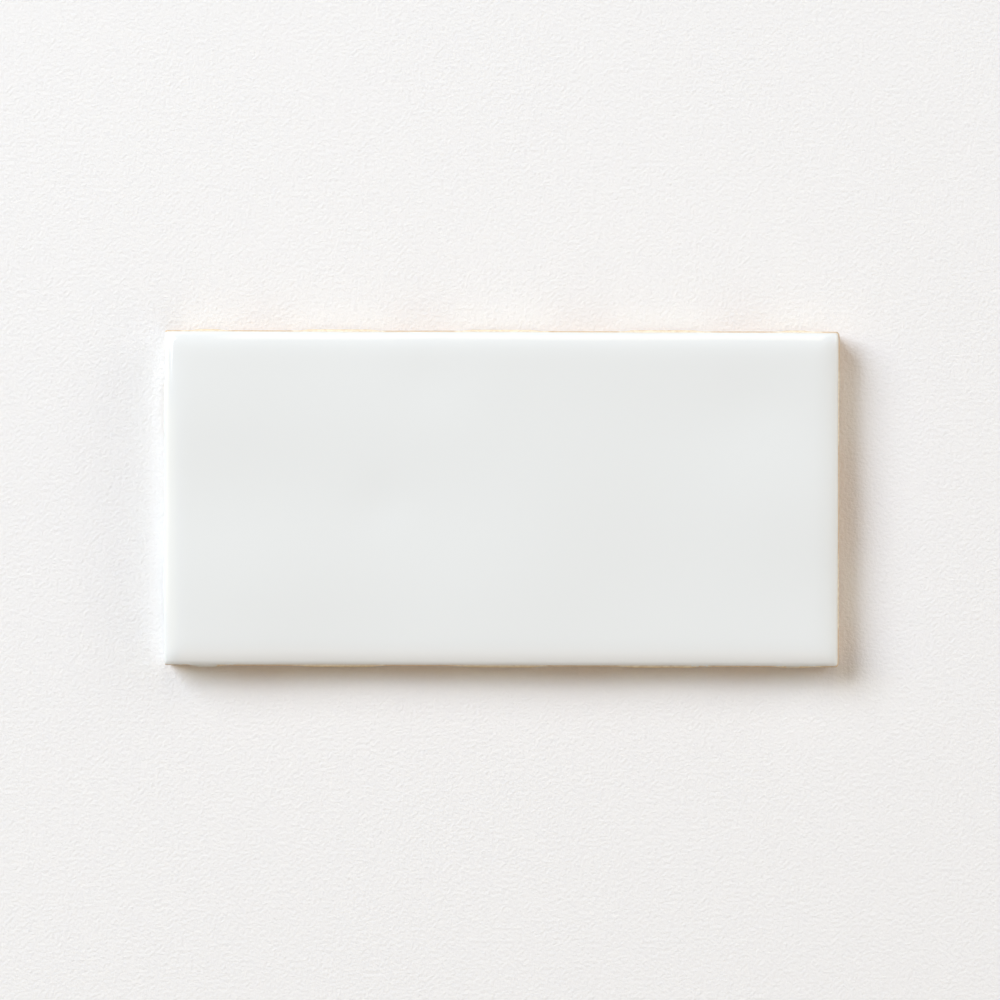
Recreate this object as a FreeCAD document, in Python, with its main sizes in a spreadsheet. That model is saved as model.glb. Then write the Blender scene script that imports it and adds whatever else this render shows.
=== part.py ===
import FreeCAD, Part
import math
import os

import Sketcher

# A 3 by 6 inch glazed wall tile, dry-pressed and fired as one piece.
# It lies on its keyed back: X along its length, Y along its width, Z up through the glazed face.
# The origin is at the middle of the back. All sizes are millimetres, and angles degrees.

SIZES = (
    ("face_length", 150.8, "glazed face along X: a 152.4 module less one joint"),
    ("face_width", 74.6, "glazed face along Y: a 76.2 module less one joint"),
    ("tile_thickness", 8.0, "back to the mean level of the face"),
    ("corner_radius", 0.7, "upright corners in plan"),
    ("back_bevel", 0.6, "bevel round the back"),
    ("cushion_run", 8.0, "width of the cushioned edge"),
    ("cushion_drop", 1.25, "fall of the cushioned edge at the side wall"),
    ("cushion_power", 4.0, "how late the cushioned edge turns down"),
    ("corner_power", 7.0, "how sharply the cushioned edges meet at a corner"),
    ("rim_run", 1.2, "width of the rim, where the glaze rolls over the very edge"),
    ("rim_drop", 0.28, "further fall of the rim at the side wall"),
    ("rim_power", 3.0, "how late the rim turns down"),
    ("long_swell_height", 0.24, "swell along the tile, mean level to crest"),
    ("long_swell_length", 69.0, "crest to crest"),
    ("long_swell_heading", 7.0, "direction it runs, from +X"),
    ("long_swell_phase", -18.0, "place of its crests"),
    ("cross_swell_height", 0.09, "swell across the tile"),
    ("cross_swell_length", 41.0, "crest to crest"),
    ("cross_swell_heading", 97.0, "direction it runs, from +X"),
    ("cross_swell_phase", 111.0, "place of its crests"),
    ("short_swell_height", 0.07, "shorter swell across the tile"),
    ("short_swell_length", 35.0, "crest to crest"),
    ("short_swell_heading", 83.0, "direction it runs, from +X"),
    ("short_swell_phase", 254.0, "place of its crests"),
    ("skew_swell_height", 0.05, "swell from corner to corner"),
    ("skew_swell_length", 42.0, "crest to crest"),
    ("skew_swell_heading", 145.0, "direction it runs, from +X"),
    ("skew_swell_phase", 96.0, "place of its crests"),
    ("middle_hollow_x", -26.6, "shallow hollow near the middle of the face"),
    ("middle_hollow_y", -1.5, "its place across the tile"),
    ("middle_hollow_radius", 6.0, "its reach"),
    ("middle_hollow_depth", 0.19, "its depth"),
    ("back_hollow_x", -16.0, "shallow hollow beside the long edge at the back"),
    ("back_hollow_y", 26.5, "its place across the tile"),
    ("back_hollow_radius", 8.5, "its reach"),
    ("back_hollow_depth", 0.28, "its depth"),
    ("end_hollow_x", 56.0, "shallow hollow near the right end"),
    ("end_hollow_y", 20.0, "its place across the tile"),
    ("end_hollow_radius", 9.0, "its reach"),
    ("end_hollow_depth", 0.2, "its depth"),
    ("lug_reach", 0.8, "spacer lug beyond the side wall, half a joint"),
    ("lug_top", 2.5, "top of the spacer lugs above the back"),
    ("lug_ramp", 4.5, "length of the slope at each end of a lug"),
    ("lug_length", 22.5, "middle lugs of a long side"),
    ("lug_pitch", 36.5, "spacing of the middle lugs of a long side"),
    ("end_lug_length", 12.5, "lugs beside the corners of a long side"),
    ("end_lug_inset", 9.2, "centre of those lugs from the corner"),
    ("short_lug_length", 18.0, "lugs of a short side"),
    ("short_lug_pitch", 41.0, "spacing of the two lugs of a short side"),
    ("key_depth", 0.7, "depth of the square keys in the back"),
    ("key_rib", 2.6, "rib between two keys"),
    ("key_border", 6.0, "plain border round the keyed field"),
    ("key_taper", 35.0, "slope of the key walls, from upright"),
    ("key_columns", 10, "keys along the length"),
    ("key_rows", 5, "keys along the width"),
)

SWELLS = ("long_swell", "cross_swell", "short_swell", "skew_swell")
HOLLOWS = ("middle_hollow", "back_hollow", "end_hollow")

doc = FreeCAD.newDocument("wall_tile")


def fill_sheet():
    sheet = doc.addObject("Spreadsheet::Sheet", "sizes")
    for row, (alias, value, meaning) in enumerate(SIZES, start=1):
        sheet.set(f"A{row}", meaning)
        sheet.set(f"B{row}", str(value))
        sheet.setAlias(f"B{row}", alias)
    doc.recompute()
    return sheet


sheet = fill_sheet()
body = doc.addObject("PartDesign::Body", "pressed_blank")


def size(alias):
    return float(sheet.get(alias))


def origin_feature(role):
    return next(feature for feature in body.Origin.OriginFeatures if feature.Role == role)


def bind(sketch, kind, places, expression):
    # Adds a dimension to a sketch and ties it to an expression of the sheet.
    index = sketch.addConstraint(Sketcher.Constraint(kind, *places, 1.0))
    sketch.setExpression(f"Constraints[{index}]", expression)


def closed_lines(sketch, corners):
    # Draws straight lines from corner to corner and joins their ends.
    count = len(corners)
    for index in range(count):
        start = FreeCAD.Vector(*corners[index], 0)
        end = FreeCAD.Vector(*corners[(index + 1) % count], 0)
        sketch.addGeometry(Part.LineSegment(start, end), False)
    for index in range(count):
        sketch.addConstraint(Sketcher.Constraint("Coincident", index, 2, (index + 1) % count, 1))


def sketch_on_back(name):
    sketch = body.newObject("Sketcher::SketchObject", name)
    sketch.AttachmentSupport = [(origin_feature("XY_Plane"), "")]
    sketch.MapMode = "FlatFace"
    return sketch


def centred_rectangle(name, width, height, width_expression, height_expression):
    sketch = sketch_on_back(name)
    x, y = width / 2, height / 2
    closed_lines(sketch, [(-x, -y), (x, -y), (x, y), (-x, y)])
    sketch.addConstraint(Sketcher.Constraint("Horizontal", 0))
    sketch.addConstraint(Sketcher.Constraint("Vertical", 1))
    sketch.addConstraint(Sketcher.Constraint("Horizontal", 2))
    sketch.addConstraint(Sketcher.Constraint("Vertical", 3))
    sketch.addConstraint(Sketcher.Constraint("Symmetric", 0, 1, 2, 1, -1, 1))
    bind(sketch, "DistanceX", (0, 1, 0, 2), width_expression)
    bind(sketch, "DistanceY", (1, 1, 1, 2), height_expression)
    return sketch


def edges_where(feature, test):
    found = []
    for number, edge in enumerate(feature.Shape.Edges, start=1):
        if test(edge.BoundBox):
            found.append(f"Edge{number}")
    return found


# The blank: a rectangular prism with rounded corners and a bevelled back.
# It stands a full cushion drop above the face, for the upper punch to press down.
def press_blank():
    plan = centred_rectangle(
        "plan",
        size("face_length"),
        size("face_width"),
        "sizes.face_length",
        "sizes.face_width",
    )
    blank = body.newObject("PartDesign::Pad", "blank")
    blank.Profile = plan
    blank.setExpression("Length", "sizes.tile_thickness + sizes.cushion_drop")
    doc.recompute()

    corners = body.newObject("PartDesign::Fillet", "corner_rounds")
    corners.Base = (blank, edges_where(blank, lambda box: box.ZLength > box.DiagonalLength / 2))
    corners.setExpression("Radius", "sizes.corner_radius")
    doc.recompute()

    half_up = size("tile_thickness") / 2
    bevel = body.newObject("PartDesign::Chamfer", "back_bevels")
    bevel.Base = (corners, edges_where(corners, lambda box: box.ZMax < half_up))
    bevel.setExpression("Size", "sizes.back_bevel")
    doc.recompute()


# A spacer lug: a low pad on the side wall with a long slope at each end.
# Its sketch runs along the wall, and a quarter turn takes it to a short side.
def press_lug(name, length, wall, place, quarter_turns):
    sketch = sketch_on_back(f"{name}_plan")
    turn = FreeCAD.Rotation(FreeCAD.Vector(0, 0, 1), -90 * quarter_turns)
    sketch.AttachmentOffset = FreeCAD.Placement(FreeCAD.Vector(0, 0, 0), turn)
    along_axis = ("x", "y")[quarter_turns]
    sketch.setExpression(f"AttachmentOffset.Base.{along_axis}", place)
    sketch.setExpression("AttachmentOffset.Base.z", "sizes.back_bevel")
    closed_lines(sketch, [(-9, 37), (-5, 38), (5, 38), (9, 37)])
    sketch.addConstraint(Sketcher.Constraint("Symmetric", 0, 1, 2, 2, -2))
    sketch.addConstraint(Sketcher.Constraint("Symmetric", 0, 2, 2, 1, -2))
    bind(sketch, "DistanceX", (0, 1, 2, 2), length)
    bind(sketch, "DistanceX", (0, 1, 0, 2), "sizes.lug_ramp")
    bind(sketch, "DistanceY", (-1, 1, 0, 1), f"{wall} / 2")
    bind(sketch, "DistanceY", (0, 1, 0, 2), "sizes.lug_reach")
    lug = body.newObject("PartDesign::Pad", name)
    lug.Profile = sketch
    lug.setExpression("Length", "sizes.lug_top - sizes.back_bevel")
    doc.recompute()
    return lug


def row_of(axis, spacing, count):
    row = body.newObject("PartDesign::LinearPattern", "row")
    row.Direction = (origin_feature(axis), [""])
    row.setExpression("Length", f"{spacing} * ({count} - 1)")
    row.setExpression("Occurrences", f"{count}")
    return row


def mirror_in(plane):
    mirror = body.newObject("PartDesign::Mirrored", "mirror")
    mirror.MirrorPlane = (origin_feature(plane), [""])
    return mirror


def repeat(feature, name, steps):
    repeated = body.newObject("PartDesign::MultiTransform", name)
    repeated.Originals = [feature]
    repeated.Transformations = steps
    body.Tip = repeated
    doc.recompute()


def press_lugs():
    middle = press_lug("middle_lug", "sizes.lug_length", "sizes.face_width", "-sizes.lug_pitch", 0)
    repeat(middle, "middle_lugs", [row_of("X_Axis", "sizes.lug_pitch", "3"), mirror_in("XZ_Plane")])
    inset = "sizes.end_lug_inset - sizes.face_length / 2"
    end = press_lug("end_lug", "sizes.end_lug_length", "sizes.face_width", inset, 0)
    repeat(end, "end_lugs", [mirror_in("YZ_Plane"), mirror_in("XZ_Plane")])
    short_place = "sizes.short_lug_pitch / 2"
    short = press_lug("short_lug", "sizes.short_lug_length", "sizes.face_length", short_place, 1)
    repeat(short, "short_lugs", [mirror_in("XZ_Plane"), mirror_in("YZ_Plane")])


# The keyed back: a field of shallow square recesses with sloping walls, which grip the adhesive.
def key_size(face, count):
    return f"(sizes.{face} - 2 * sizes.key_border + sizes.key_rib) / sizes.{count} - sizes.key_rib"


def press_keys():
    across = key_size("face_length", "key_columns")
    deep = key_size("face_width", "key_rows")
    plan = centred_rectangle("key_plan", 11, 11, across, deep)
    plan.setExpression(
        "AttachmentOffset.Base.x", f"sizes.key_border + ({across}) / 2 - sizes.face_length / 2"
    )
    plan.setExpression(
        "AttachmentOffset.Base.y", f"sizes.key_border + ({deep}) / 2 - sizes.face_width / 2"
    )
    key = body.newObject("PartDesign::Pocket", "key")
    key.Profile = plan
    key.Reversed = True
    key.setExpression("Length", "sizes.key_depth")
    key.setExpression("TaperAngle", "-sizes.key_taper")
    doc.recompute()
    steps = [
        row_of("X_Axis", f"({across} + sizes.key_rib)", "sizes.key_columns"),
        row_of("Y_Axis", f"({deep} + sizes.key_rib)", "sizes.key_rows"),
    ]
    repeat(key, "keys", steps)


# The upper punch: one sculpted surface that gives the face its slow swells, its shallow hollows,
# its cushioned edge and its rim.
class PunchFace:
    edge_steps = 15
    inner_step = 3.6

    def __init__(self):
        self.half_length = size("face_length") / 2
        self.half_width = size("face_width") / 2
        self.run = size("cushion_run")
        self.overhang = size("rim_run") / 2

    def fall(self, kind, x, y):
        # None on the open face, the full drop at the side wall, a little more at a corner.
        run = size(f"{kind}_run")
        beside_end = max(0.0, 1 - (self.half_length - abs(x)) / run)
        beside_side = max(0.0, 1 - (self.half_width - abs(y)) / run)
        sharpness = size("corner_power")
        turned_down = (beside_end**sharpness + beside_side**sharpness) ** (1 / sharpness)
        return size(f"{kind}_drop") * turned_down ** size(f"{kind}_power")

    def swell(self, name, x, y):
        heading = math.radians(size(f"{name}_heading"))
        along = x * math.cos(heading) + y * math.sin(heading)
        turn = 2 * math.pi * along / size(f"{name}_length") + math.radians(size(f"{name}_phase"))
        return size(f"{name}_height") * math.cos(turn)

    def hollow(self, name, x, y):
        away = math.hypot(x - size(f"{name}_x"), y - size(f"{name}_y")) / size(f"{name}_radius")
        return size(f"{name}_depth") * math.exp(-(away**2))

    def level(self, x, y):
        level = size("tile_thickness") - self.fall("cushion", x, y) - self.fall("rim", x, y)
        level += sum(self.swell(name, x, y) for name in SWELLS)
        return level - sum(self.hollow(name, x, y) for name in HOLLOWS)

    def stations(self, half):
        # Lines of the surface: closer together towards the side wall, wide apart on the face.
        outer = half + self.overhang
        inner = half - self.run
        shares = [step / self.edge_steps for step in range(self.edge_steps + 1)]
        edge = [outer - (outer - inner) * (1 - share) ** 2 for share in shares]
        count = max(2, round(2 * inner / self.inner_step))
        middle = [inner * (2 * step / count - 1) for step in range(1, count)]
        return [-place for place in reversed(edge)] + middle + edge

    def solid(self):
        points = []
        for x in self.stations(self.half_length):
            points.append(
                [FreeCAD.Vector(x, y, self.level(x, y)) for y in self.stations(self.half_width)]
            )
        surface = Part.BSplineSurface()
        surface.interpolate(points)
        lift = FreeCAD.Vector(0, 0, size("tile_thickness"))
        return surface.toShape().extrude(lift)


def press_face():
    punch = doc.addObject("Part::Feature", "upper_punch")
    punch.Shape = PunchFace().solid()
    tile = doc.addObject("Part::Cut", "wall_tile")
    tile.Base = body
    tile.Tool = punch
    tile.Label = "wall_tile"
    doc.recompute()
    return tile


def check(tile):
    for item in doc.Objects:
        if "Invalid" in item.State or "Error" in item.State:
            raise RuntimeError(f"{item.Name} failed: {item.State}")
    shape = tile.Shape
    if shape.isNull() or not shape.isValid() or len(shape.Solids) != 1:
        raise RuntimeError(f"{tile.Label} is not one valid solid")


press_blank()
press_lugs()
press_keys()
tile = press_face()
check(tile)
os.makedirs("parts", exist_ok=True)
tile.Shape.exportStep(f"parts/{tile.Label}.step")
print(f"{tile.Label}: {tile.Shape.Volume:.1f} mm3, {len(tile.Shape.Faces)} faces, {tile.Shape.BoundBox}")
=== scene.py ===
import math

import bmesh
import bpy
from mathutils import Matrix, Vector


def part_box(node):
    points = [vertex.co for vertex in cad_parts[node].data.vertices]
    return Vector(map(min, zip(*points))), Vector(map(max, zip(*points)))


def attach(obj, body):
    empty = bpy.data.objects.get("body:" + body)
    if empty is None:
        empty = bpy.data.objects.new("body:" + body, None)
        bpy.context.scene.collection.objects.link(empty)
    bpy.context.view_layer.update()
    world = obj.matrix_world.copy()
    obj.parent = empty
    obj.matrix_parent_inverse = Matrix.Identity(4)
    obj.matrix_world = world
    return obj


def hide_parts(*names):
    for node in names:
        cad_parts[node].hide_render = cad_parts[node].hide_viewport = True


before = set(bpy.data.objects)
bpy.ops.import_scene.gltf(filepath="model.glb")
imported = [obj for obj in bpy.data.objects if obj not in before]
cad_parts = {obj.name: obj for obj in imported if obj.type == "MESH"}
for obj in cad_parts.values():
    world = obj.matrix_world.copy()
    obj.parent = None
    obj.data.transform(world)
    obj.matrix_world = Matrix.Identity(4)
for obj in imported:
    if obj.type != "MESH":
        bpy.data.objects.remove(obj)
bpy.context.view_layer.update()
mm = 0.001


# Arithmetic on node sockets, so that a rule reads as a formula.
class Field:
    def __init__(self, tree, socket):
        self.tree = tree
        self.socket = socket

    def op(self, operation, *others):
        node = self.tree.nodes.new("ShaderNodeMath")
        node.operation = operation
        for slot, value in zip(node.inputs, (self, *others)):
            plug(self.tree, slot, value)
        return Field(self.tree, node.outputs[0])

    def __add__(self, other):
        return self.op("ADD", other)

    def __sub__(self, other):
        return self.op("SUBTRACT", other)

    def __mul__(self, other):
        return self.op("MULTIPLY", other)

    def __truediv__(self, other):
        return self.op("DIVIDE", other)

    def __pow__(self, other):
        return self.op("POWER", other)

    def __neg__(self):
        return self.op("MULTIPLY", -1.0)

    def abs(self):
        return self.op("ABSOLUTE")

    def max(self, other):
        return self.op("MAXIMUM", other)

    def min(self, other):
        return self.op("MINIMUM", other)

    def below(self, other):
        return self.op("LESS_THAN", other)

    def cos(self):
        return self.op("COSINE")

    def sin(self):
        return self.op("SINE")

    def root(self):
        return self.op("SQRT")

    def clamp(self):
        return self.max(0.0).min(1.0)

    def ease(self):
        held = self.clamp()  # smooth step from 0 to 1
        return held * held * (held * -2.0 + 3.0)


def plug(tree, slot, value):
    if isinstance(value, Field):
        tree.links.new(value.socket, slot)
    else:
        slot.default_value = value


def addNode(tree, kind, inputs=None, **settings):
    node = tree.nodes.new(kind)
    for name, value in settings.items():
        setattr(node, name, value)
    for name, value in (inputs or {}).items():
        plug(tree, node.inputs[name], value)
    return node


def out(tree, node, name=0):
    return Field(tree, node.outputs[name])


def newGeometryTree(name, sizes):
    tree = bpy.data.node_groups.new(name, "GeometryNodeTree")
    tree.interface.new_socket("Geometry", in_out="INPUT", socket_type="NodeSocketGeometry")
    for title, value in sizes.items():
        kind = "NodeSocketInt" if isinstance(value, int) else "NodeSocketFloat"
        tree.interface.new_socket(title, in_out="INPUT", socket_type=kind)
    tree.interface.new_socket("Geometry", in_out="OUTPUT", socket_type="NodeSocketGeometry")
    source = addNode(tree, "NodeGroupInput")
    given = {title: Field(tree, source.outputs[title]) for title in sizes}
    return tree, Field(tree, source.outputs["Geometry"]), given


def setInputs(modifier, sizes):
    for item in modifier.node_group.interface.items_tree:
        if item.in_out == "INPUT" and item.name in sizes:
            modifier[item.identifier] = sizes[item.name]


# The tile's sizes, in metres and degrees.
lowCorner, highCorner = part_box("wall_tile")
lugReach = 0.8 * mm
tileSizes = {
    "faceLength": highCorner.x - lowCorner.x - 2 * lugReach,
    "faceWidth": highCorner.y - lowCorner.y - 2 * lugReach,
    "thickness": 7.985 * mm,  # keeps the crown inside the CAD box
    "cornerRadius": 0.7 * mm,
    "backBevel": 0.6 * mm,
    "cushionRun": 8.0 * mm,  # slow roll of the face towards its edges
    "cushionDrop": 1.25 * mm,
    "cushionPower": 4.0,
    "rimRun": 1.2 * mm,  # glaze rolled over the very edge
    "rimDrop": 0.28 * mm,
    "rimPower": 3.0,
    "cornerPower": 7.0,
    "lugReach": lugReach,
    "lugTop": 2.5 * mm,
    "lugRound": 0.3 * mm,
    "lugRamp": 4.5 * mm,
    "lugLength": 22.5 * mm,
    "lugPitch": 36.5 * mm,
    "endLugLength": 12.5 * mm,
    "endLugInset": 9.2 * mm,
    "shortLugLength": 18.0 * mm,
    "shortLugPitch": 41.0 * mm,
    "keyDepth": 0.7 * mm,
    "keyRib": 2.6 * mm,
    "keyBorder": 6.0 * mm,
    "keyTaper": math.radians(35),
    "keyColumns": 10,
    "keyRows": 5,
    "clayProud": 0.28 * mm,  # bare clay standing out beyond the edge of the glaze
    "glazeHem": 0.1 * mm,  # how far below the rim the glaze ends, on the side walls
    "leftDip": 5.6 * mm,  # how much further it runs down the left wall
    "glazeWander": 0.3 * mm,
    "glazeScallop": 0.3 * mm,
}
rimLevel = tileSizes["thickness"] - tileSizes["cushionDrop"] - tileSizes["rimDrop"]
faceSwells = [  # height, crest to crest, heading in degrees, phase in degrees
    (0.24 * mm, 69 * mm, 7, -18),
    (0.09 * mm, 41 * mm, 97, 111),
    (0.07 * mm, 35 * mm, 83, 254),
    (0.05 * mm, 42 * mm, 145, 96),
]
faceHollows = [  # x, y, radius, depth
    (-26.6 * mm, -1.5 * mm, 6.0 * mm, 0.19 * mm),
    (-16.0 * mm, 26.5 * mm, 8.5 * mm, 0.28 * mm),
    (56.0 * mm, 20.0 * mm, 9.0 * mm, 0.20 * mm),
    (23.1 * mm, 10.9 * mm, 1.5 * mm, 0.012 * mm),
]
glazeRuns = [  # along the front wall: place, half width, how far below the mean edge
    (-68.0 * mm, 6.0 * mm, 4.6 * mm),
    (44.4 * mm, 1.2 * mm, 4.2 * mm),
    (66.0 * mm, 3.0 * mm, 4.0 * mm),
]
glazeEdge = {
    "wanderLength": 26 * mm,
    "scallopLength": 4.5 * mm,
    "runReach": 1.5,  # half widths from its middle, where a run has died out
    "ledgeSharp": 4.0,  # how soon the paler clay starts along a lug
    "ledgeReach": 1.6,  # how far it comes down a lug, in rounds of the lug's top
    "bareBack": -5.0,  # mm from the glaze, far enough for bare clay
}
netSizes = {
    "rimGap": 0.06 * mm,
    "growth": 1.13,
    "widestGap": 0.95 * mm,
    "touch": 1e-6,  # nearer than this, a point is on the wall
    "weld": 1e-7,
    "crease": math.radians(38),  # sharper edges than this stay sharp
}
wallRows = [  # from level, to level, rows
    (rimLevel - 0.04 * mm, rimLevel - 0.64 * mm, 9),
    (rimLevel - 0.9 * mm, 3.0 * mm, 8),
    (2.75 * mm, 2.05 * mm, 10),
    (1.7 * mm, 0.75 * mm, 4),
    (0.6 * mm, 0.0, 4),
]


# Levels of the net's rings down the walls, close where the shape turns.
def wallLevels():
    for high, low, rows in wallRows:
        for row in range(rows):
            yield high + (low - high) * row / (rows - 1)


# Places across the face, close at its edges and wider towards the middle.
def stations(half):
    gap, depths = netSizes["rimGap"], [0.0]
    while depths[-1] < half:
        depths.append(depths[-1] + gap)
        gap = min(gap * netSizes["growth"], netSizes["widestGap"])
    fit = half / depths[-1]
    inner = [half - depth * fit for depth in depths]
    return [-place for place in inner[:-1]] + inner[::-1]


# A fine open net over the face and down the walls, ready to be pressed into shape.
def pressNet():
    mesh = bpy.data.meshes.new("pressNet")
    net = bmesh.new()
    columns = stations(tileSizes["faceLength"] / 2)
    rows = stations(tileSizes["faceWidth"] / 2)
    top = tileSizes["thickness"]
    sheet = [[net.verts.new((x, y, top)) for y in rows] for x in columns]
    for i in range(len(columns) - 1):
        for j in range(len(rows) - 1):
            net.faces.new((sheet[i][j], sheet[i + 1][j], sheet[i + 1][j + 1], sheet[i][j + 1]))
    ring = [line[0] for line in sheet] + sheet[-1][1:]
    ring += [line[-1] for line in sheet[-2::-1]] + sheet[0][-2:0:-1]
    for level in wallLevels():
        lower = [net.verts.new((v.co.x, v.co.y, level)) for v in ring]
        for k in range(len(ring)):
            n = (k + 1) % len(ring)
            net.faces.new((lower[k], lower[n], ring[n], ring[k]))
        ring = lower
    net.to_mesh(mesh)
    net.free()
    print("press net:", len(mesh.vertices), "points")
    return bpy.data.objects.new("wallTile", mesh)


# One slow wave across the face.
def swellTree():
    tree = bpy.data.node_groups.new("faceSwell", "GeometryNodeTree")
    for title in ("x", "y", "height", "length", "heading", "phase"):
        tree.interface.new_socket(title, in_out="INPUT", socket_type="NodeSocketFloat")
    tree.interface.new_socket("rise", in_out="OUTPUT", socket_type="NodeSocketFloat")
    source = addNode(tree, "NodeGroupInput")
    x, y, height, length, heading, phase = (Field(tree, source.outputs[n]) for n in range(6))
    along = x * heading.cos() + y * heading.sin()
    rise = height * (along * math.tau / length + phase).cos()
    plug(tree, addNode(tree, "NodeGroupOutput").inputs["rise"], rise)
    return tree


# How far each point lies inside the walls, and the level of the face there.
def faceLevel(tree, given, x, y):
    beyondX = given["faceLength"] / 2 - x.abs()
    beyondY = given["faceWidth"] / 2 - y.abs()
    sharp = given["cornerPower"]

    def turned(run):  # 0 on the open face, 1 at the side wall
        endShare = (-(beyondX / run) + 1.0).clamp()
        sideShare = (-(beyondY / run) + 1.0).clamp()
        return (endShare**sharp + sideShare**sharp) ** (sharp**-1.0)

    level = given["thickness"]
    for kind in ("cushion", "rim"):
        level = level - given[kind + "Drop"] * turned(given[kind + "Run"]) ** given[kind + "Power"]
    swell = swellTree()
    for height, length, heading, phase in faceSwells:
        wave = addNode(tree, "GeometryNodeGroup", node_tree=swell)
        values = (x, y, height, length, math.radians(heading), math.radians(phase))
        for slot, value in zip(wave.inputs, values):
            plug(tree, slot, value)
        level = level + out(tree, wave)
    for hollowX, hollowY, radius, depth in faceHollows:
        offX = (x - hollowX) / radius
        offY = (y - hollowY) / radius
        level = level - (-(offX * offX + offY * offY)).op("EXPONENT") * depth
    return level


# 0 beside a spacer lug, 1 on its flat top.
def lugShare(given, along, centre, length):
    return ((length / 2 - (along - centre).abs()) / given["lugRamp"]).clamp()


# A wall point's way out on a spacer lug, its way in on the back bevel or out on bare clay, and its glaze.
def wallShift(tree, given, x, y, z):
    endCentre = given["faceLength"] / 2 - given["endLugInset"]
    longLugs = lugShare(given, x.abs(), 0.0, given["lugLength"])
    longLugs = longLugs.max(lugShare(given, x.abs(), given["lugPitch"], given["lugLength"]))
    longLugs = longLugs.max(lugShare(given, x.abs(), endCentre, given["endLugLength"]))
    shortLugs = lugShare(given, y.abs(), given["shortLugPitch"] / 2, given["shortLugLength"])
    onShort = (given["faceLength"] / 2 - x.abs()).below(netSizes["touch"])
    lug = longLugs + (shortLugs - longLugs) * onShort
    under = ((given["lugTop"] - z) / given["lugRound"]).ease()
    over = ((z - given["backBevel"]) / given["lugRound"] + 1.0).ease()
    topShare = (z - given["lugTop"]) / given["lugRound"] + glazeEdge["ledgeReach"]
    ledge = (lug * glazeEdge["ledgeSharp"]).clamp() * topShare.ease()
    lug = lug * under * over

    flat = addNode(tree, "ShaderNodeCombineXYZ", {"X": x, "Y": y})
    wander = addNode(tree, "ShaderNodeTexNoise", {"Scale": 1 / glazeEdge["wanderLength"], "Detail": 1.0})
    scallop = addNode(tree, "ShaderNodeTexNoise", {"Scale": 1 / glazeEdge["scallopLength"], "Detail": 2.0})
    for node in (wander, scallop):
        tree.links.new(flat.outputs[0], node.inputs["Vector"])
    hem = given["glazeHem"] + (out(tree, wander) - 0.5) * given["glazeWander"]
    hem = hem + (out(tree, scallop) - 0.5) * given["glazeScallop"]
    left = (x + given["faceLength"] / 2).below(given["faceWidth"] / 2 - y.abs())
    hem = hem + given["leftDip"] * left
    front = y.below(0.0)
    for place, halfWidth, depth in glazeRuns:
        near = (-((x - place) / halfWidth).abs() + glazeEdge["runReach"]).ease()
        hem = hem + near * front * depth
    glazed = z - rimLevel + hem
    bare = -((glazed / given["glazeScallop"] + 1.0).ease()) + 1.0
    setBack = (given["backBevel"] - z).max(0.0) - bare * given["clayProud"] * (-lug + 1.0)
    inside = (given["faceLength"] / 2 - x.abs()).min(given["faceWidth"] / 2 - y.abs())
    return lug * given["lugReach"], setBack, (glazed.min(hem) + inside) / mm, ledge


# A grid of cells, each set in to leave ribs, then pressed up into a shallow key.
def keyedBack(tree, given):
    field = {}
    for face, count, axis in (("faceLength", "keyColumns", "X"), ("faceWidth", "keyRows", "Y")):
        field[axis] = given[face] - given["keyBorder"] * 2.0 + given["keyRib"]
        field["pitch" + axis] = field[axis] / given[count]
    grid = addNode(tree, "GeometryNodeMeshGrid", {"Size X": field["X"], "Size Y": field["Y"]})
    plug(tree, grid.inputs["Vertices X"], given["keyColumns"] + 1.0)
    plug(tree, grid.inputs["Vertices Y"], given["keyRows"] + 1.0)
    flip = addNode(tree, "GeometryNodeFlipFaces", {"Mesh": out(tree, grid, "Mesh")})
    rise = given["keyDepth"]
    slope = given["keyTaper"].op("TANGENT") * rise * 2.0
    mesh = out(tree, flip)
    shrink = {axis: given["keyRib"] for axis in "XY"}
    width = {axis: field["pitch" + axis] for axis in "XY"}
    chosen = None
    for lift in (0.0, rise):
        pressed = addNode(tree, "GeometryNodeExtrudeMesh", {"Mesh": mesh, "Offset Scale": 0.0})
        if chosen is not None:
            plug(tree, pressed.inputs["Selection"], chosen)
        pressed.inputs["Individual"].default_value = True
        chosen = out(tree, pressed, "Top")
        mesh = out(tree, pressed, "Mesh")
        for axis, share in (("X", (1.0, 0.0, 0.0)), ("Y", (0.0, 1.0, 0.0))):
            scaled = addNode(tree, "GeometryNodeScaleElements", {"Geometry": mesh, "Selection": chosen})
            scaled.scale_mode = "SINGLE_AXIS"
            scaled.inputs["Axis"].default_value = share
            plug(tree, scaled.inputs["Scale"], (width[axis] - shrink[axis]) / width[axis])
            mesh = out(tree, scaled)
        offset = addNode(tree, "ShaderNodeCombineXYZ", {"Z": lift})
        moved = addNode(tree, "GeometryNodeSetPosition", {"Geometry": mesh, "Selection": chosen})
        tree.links.new(offset.outputs[0], moved.inputs["Offset"])
        mesh = out(tree, moved)
        width = {axis: width[axis] - shrink[axis] for axis in "XY"}
        shrink = {axis: slope for axis in "XY"}
    return mesh


def keep(tree, geometry, name, value):  # a value that the material reads back
    inputs = {"Geometry": geometry, "Name": name, "Value": value}
    return out(tree, addNode(tree, "GeometryNodeStoreNamedAttribute", inputs, domain="POINT"))


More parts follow.
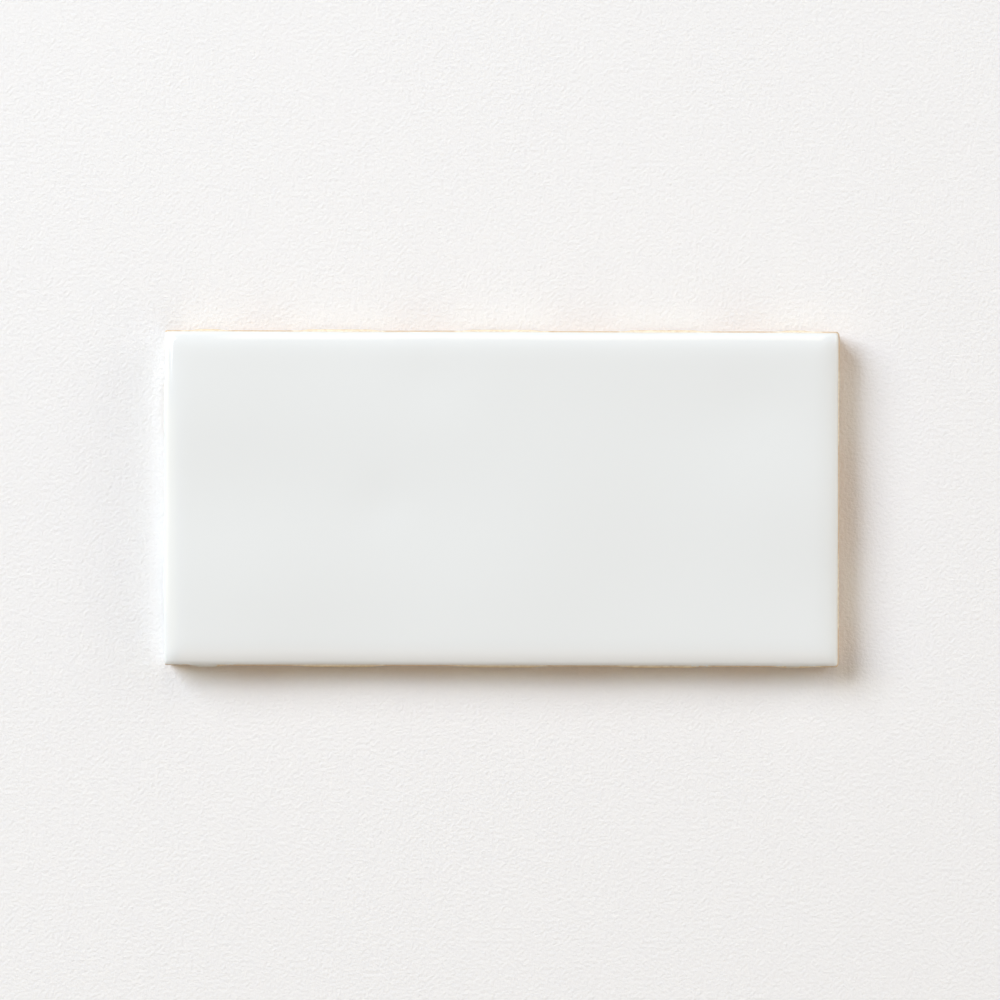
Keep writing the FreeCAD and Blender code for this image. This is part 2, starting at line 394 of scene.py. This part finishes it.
def tileTree(material):
    tree, geometry, given = newGeometryTree("pressedTile", tileSizes)
    place = addNode(tree, "GeometryNodeInputPosition")
    parts = addNode(tree, "ShaderNodeSeparateXYZ")
    tree.links.new(place.outputs[0], parts.inputs[0])
    x, y, z = (Field(tree, parts.outputs[n]) for n in range(3))
    isWall = z.below(given["thickness"] - netSizes["touch"])

    lugOut, setBack, glazed, ledge = wallShift(tree, given, x, y, z)
    lugOut = lugOut * isWall
    setBack = setBack * isWall
    onShort = (given["faceLength"] / 2 - x.abs()).below(netSizes["touch"])
    onLong = (given["faceWidth"] / 2 - y.abs()).below(netSizes["touch"])

    radius = given["cornerRadius"]  # square corners squeezed onto an arc
    a = (-((given["faceLength"] / 2 - x.abs()) / radius) + 1.0).clamp()
    b = (-((given["faceWidth"] / 2 - y.abs()) / radius) + 1.0).clamp()
    inX = radius * a * (-((-(b * b) / 2 + 1.0).root()) + 1.0)
    inY = radius * b * (-((-(a * a) / 2 + 1.0).root()) + 1.0)
    movedX = x - x * 2.0 * setBack / given["faceLength"] + x.op("SIGN") * (lugOut * onShort - inX)
    movedY = y - y * 2.0 * setBack / given["faceWidth"] + y.op("SIGN") * (lugOut * onLong - inY)
    level = faceLevel(tree, given, movedX, movedY)
    upper = ((z - given["lugTop"]) / (rimLevel - tileSizes["lugTop"])).clamp()
    wallZ = z + (level - rimLevel) * upper  # the upper wall follows the rim
    movedZ = level + (wallZ - level) * isWall

    spot = addNode(tree, "ShaderNodeCombineXYZ", {"X": movedX, "Y": movedY, "Z": movedZ})
    press = addNode(tree, "GeometryNodeSetPosition")
    tree.links.new(spot.outputs[0], press.inputs["Position"])
    shell = keep(tree, geometry, "glaze", glazed)
    shell = keep(tree, shell, "ledge", ledge * isWall)
    plug(tree, press.inputs["Geometry"], shell)
    back = keep(tree, keyedBack(tree, given), "glaze", glazeEdge["bareBack"])
    back = keep(tree, back, "ledge", 0.0)
    joined = addNode(tree, "GeometryNodeJoinGeometry")
    for half in (out(tree, press), back):
        plug(tree, joined.inputs[0], half)
    real = addNode(tree, "GeometryNodeRealizeInstances", {"Geometry": out(tree, joined)})
    paint = addNode(tree, "GeometryNodeSetMaterial", {"Geometry": out(tree, real)})
    paint.inputs["Material"].default_value = material
    plug(tree, addNode(tree, "NodeGroupOutput").inputs["Geometry"], out(tree, paint))
    return tree


# The plain border between the keyed field and the bevelled edge, one flat fill.
def closeBack(mesh):
    shell = bmesh.new()
    shell.from_mesh(mesh)
    bmesh.ops.remove_doubles(shell, verts=shell.verts, dist=netSizes["weld"])
    rims = [edge for edge in shell.edges if edge.is_boundary]
    filled = bmesh.ops.triangle_fill(shell, edges=rims, use_beauty=True)
    border = [item for item in filled["geom"] if isinstance(item, bmesh.types.BMFace)]
    bmesh.ops.recalc_face_normals(shell, faces=shell.faces)
    print("back border:", len(border), "faces, open edges left:", sum(e.is_boundary for e in shell.edges))
    shell.to_mesh(mesh)
    shell.free()


def makeTile(material):
    net = pressNet()
    bpy.context.scene.collection.objects.link(net)
    press = net.modifiers.new("pressedTile", "NODES")
    press.node_group = tileTree(material)
    setInputs(press, tileSizes)
    pressed = net.evaluated_get(bpy.context.evaluated_depsgraph_get())
    mesh = bpy.data.meshes.new_from_object(pressed)
    net.modifiers.remove(press)
    closeBack(mesh)
    mesh.shade_smooth()
    mesh.set_sharp_from_angle(angle=netSizes["crease"])
    mesh.name = "wallTile"
    net.data = mesh
    print("wall tile:", sum(len(p.vertices) - 2 for p in mesh.polygons), "triangles")
    return net


# Fired finishes.
glazeFinish = {
    "colour": (0.832, 0.858, 0.862, 1.0),
    "roughness": 0.07,
    "ior": 1.52,
    "raggedSize": 1.1 * mm,
    "ragged": 0.35,  # mm to and fro along its edge
    "feather": 0.12,  # mm over which it fades out
    "thinning": 0.45,  # mm from its edge, where the clay shows through
    "thinnest": 0.55,
    "peelSize": 3.2 * mm,
    "peelDepth": 0.0025 * mm,
}
biscuitFinish = {
    "colour": (0.53, 0.33, 0.17, 1.0),
    "paleClayColour": (0.88, 0.79, 0.62, 1.0),  # paler clay on the lug tops and just below the glaze
    "paleClayReach": 1.6,  # mm below the glaze
    "paleClayShare": 0.5,  # off the lugs
    "speckSize": 0.9 * mm,
    "speckContrast": 1.2,
    "speckLevel": 0.85,
    "roughness": 0.85,
    "grainSize": 0.35 * mm,
    "grainDepth": 0.02 * mm,
}


def firedMaterial():
    material = bpy.data.materials.new("firedTile")
    material.use_nodes = True
    tree = material.node_tree
    shader = tree.nodes["Principled BSDF"]
    shader.inputs["IOR"].default_value = glazeFinish["ior"]
    place = addNode(tree, "ShaderNodeTexCoord")
    glaze = out(tree, addNode(tree, "ShaderNodeAttribute", attribute_name="glaze"), "Fac")
    ledge = out(tree, addNode(tree, "ShaderNodeAttribute", attribute_name="ledge"), "Fac")

    def noise(size, detail=2.0):
        node = addNode(tree, "ShaderNodeTexNoise", {"Scale": 1 / size, "Detail": detail})
        tree.links.new(place.outputs["Object"], node.inputs["Vector"])
        return out(tree, node)

    def blend(share, under, over):
        node = addNode(tree, "ShaderNodeMix", {"Factor": share}, data_type="RGBA")
        for slot, colour in ((node.inputs["A"], under), (node.inputs["B"], over)):
            plug(tree, slot, colour)
        return out(tree, node, "Result")

    ragged = (noise(glazeFinish["raggedSize"], 3.0) - 0.5) * glazeFinish["ragged"]
    cover = ((glaze + ragged) / glazeFinish["feather"] + 0.5).clamp()
    body = (glaze / glazeFinish["thinning"]).clamp()
    body = body * (1.0 - glazeFinish["thinnest"]) + glazeFinish["thinnest"]
    # Paler clay along the lug tops and in a band just below the glaze.
    nearGlaze = (glaze / biscuitFinish["paleClayReach"] + 1.0).clamp()
    paleClay = ledge.max(nearGlaze * biscuitFinish["paleClayShare"])
    specks = (noise(biscuitFinish["speckSize"], 3.0) - 0.5) * biscuitFinish["speckContrast"]
    paleClay = paleClay * (specks + biscuitFinish["speckLevel"]).clamp()
    clay = blend(paleClay, biscuitFinish["colour"], biscuitFinish["paleClayColour"])
    plug(tree, shader.inputs["Base Color"], blend(cover * body, clay, glazeFinish["colour"]))
    sheen = cover * (glazeFinish["roughness"] - biscuitFinish["roughness"]) + biscuitFinish["roughness"]
    plug(tree, shader.inputs["Roughness"], sheen)
    peel = noise(glazeFinish["peelSize"]) * glazeFinish["peelDepth"]
    grain = noise(biscuitFinish["grainSize"], 4.0) * biscuitFinish["grainDepth"]
    height = grain + (peel - grain) * cover
    bump = addNode(tree, "ShaderNodeBump", {"Height": height, "Distance": 1.0, "Strength": 1.0})
    tree.links.new(bump.outputs[0], shader.inputs["Normal"])
    return material


tile = makeTile(firedMaterial())
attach(tile, "root")
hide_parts("wall_tile")


# Pale paper under the tile.
paper = {
    "colour": (0.92, 0.922, 0.928, 1.0),
    "roughness": 0.9,
    "specular": 0.1,
    "size": 3.0,
    "drop": 0.02 * mm,
    "grainSize": 0.75 * mm,
    "grainDepth": 0.205 * mm,
}


def makePaper():
    half = paper["size"] / 2
    mesh = bpy.data.meshes.new("paper")
    corners = [(-half, -half), (half, -half), (half, half), (-half, half)]
    mesh.from_pydata([(x, y, -paper["drop"]) for x, y in corners], [], [(0, 1, 2, 3)])
    sheet = bpy.data.objects.new("paper", mesh)
    bpy.context.scene.collection.objects.link(sheet)
    material = bpy.data.materials.new("paper")
    material.use_nodes = True
    tree = material.node_tree
    shader = tree.nodes["Principled BSDF"]
    shader.inputs["Base Color"].default_value = paper["colour"]
    shader.inputs["Roughness"].default_value = paper["roughness"]
    shader.inputs["Specular IOR Level"].default_value = paper["specular"]
    place = addNode(tree, "ShaderNodeTexCoord")
    grain = addNode(tree, "ShaderNodeTexNoise", {"Scale": 1 / paper["grainSize"], "Detail": 6.0})
    tree.links.new(place.outputs["Object"], grain.inputs["Vector"])
    height = out(tree, grain) * paper["grainDepth"]
    bump = addNode(tree, "ShaderNodeBump", {"Height": height, "Distance": 1.0})
    tree.links.new(bump.outputs[0], shader.inputs["Normal"])
    mesh.materials.append(material)


makePaper()

# Cool window light from the upper left, with paler cards round the other sides.
lamps = {  # heading and elevation in degrees, distance, width and height in metres, power in watts
    "window": (145, 35.5, 3.0, 2.0, 1.6, 105.2, (0.82, 0.893, 1.0)),
    "leftCard": (171, 22.5, 2.4, 1.1, 1.0, 7.2, (1.0, 0.78, 0.2)),
    "leftGlow": (185, 48, 2.4, 0.5, 1.0, 1.0, (1.0, 0.75, 0.2)),
    "backCard": (85, 40, 2.4, 0.85, 1.1, 6.2, (1.0, 0.81, 0.53)),
    "sideCard": (30, 14, 2.4, 1.6, 0.8, 12.2, (0.92, 0.96, 0.86)),
    "sideGlow": (30, 30, 2.4, 1.6, 1.2, 8.2, (0.93, 0.87, 1.0)),
    "rightCard": (-20, 18, 2.4, 2.6, 1.1, 12.8, (1.0, 0.96, 0.84)),
    "rightGlow": (-20, 48, 2.4, 2.4, 1.2, 4.1, (1.0, 1.0, 0.88)),
    "frontCard": (278, 30, 2.4, 1.8, 1.2, 5.7, (1.0, 0.83, 0.64)),
    "frontGlow": (280, 60, 2.4, 1.8, 1.2, 5.0, (1.0, 0.68, 0.5)),
}
room = {"fill": 0.03, "seen": 0.85}


def makeLamp(name, heading, elevation, distance, width, height, power, colour):
    lamp = bpy.data.lights.new(name, "AREA")
    lamp.shape = "RECTANGLE"
    lamp.size = width
    lamp.size_y = height
    lamp.energy = power
    lamp.color = colour
    holder = bpy.data.objects.new(name, lamp)
    heading, elevation = math.radians(heading), math.radians(elevation)
    level = math.cos(elevation)
    toLamp = Vector((math.cos(heading) * level, math.sin(heading) * level, math.sin(elevation)))
    holder.location = toLamp * distance
    holder.rotation_euler = toLamp.to_track_quat("Z", "Y").to_euler()
    bpy.context.scene.collection.objects.link(holder)


def makeRoom():
    world = bpy.data.worlds.new("room")
    bpy.context.scene.world = world
    world.use_nodes = True
    tree = world.node_tree
    glow = tree.nodes["Background"]
    rays = addNode(tree, "ShaderNodeLightPath")
    seen = out(tree, rays, "Is Camera Ray").max(out(tree, rays, "Is Glossy Ray"))
    plug(tree, glow.inputs["Strength"], seen * (room["seen"] - room["fill"]) + room["fill"])
    glow.inputs["Color"].default_value = (1.0, 1.0, 1.0, 1.0)


for lampName, lampSizes in lamps.items():
    makeLamp(lampName, *lampSizes)
makeRoom()
print("lamps:", ", ".join(lamps))

# The camera looks straight down, as the photograph does.
cameraSizes = {
    "height": 0.55,  # above the rim of the face
    "frameWidth": 0.22388,  # what the picture spans at the level of the rim
    "aside": (-0.27 * mm, -0.31 * mm),
    "roll": math.radians(0.15),
    "sensor": 36.0,  # millimetres across
    "nearest": 0.01,
}


def makeCamera():
    lens = bpy.data.cameras.new("camera")
    lens.sensor_width = cameraSizes["sensor"]
    lens.lens = lens.sensor_width * cameraSizes["height"] / cameraSizes["frameWidth"]
    lens.clip_start = cameraSizes["nearest"]
    holder = bpy.data.objects.new("camera", lens)
    holder.location = (*cameraSizes["aside"], rimLevel + cameraSizes["height"])
    holder.rotation_euler = (0.0, 0.0, cameraSizes["roll"])
    bpy.context.scene.collection.objects.link(holder)
    bpy.context.scene.camera = holder


makeCamera()
bpy.context.scene.view_settings.view_transform = "Standard"
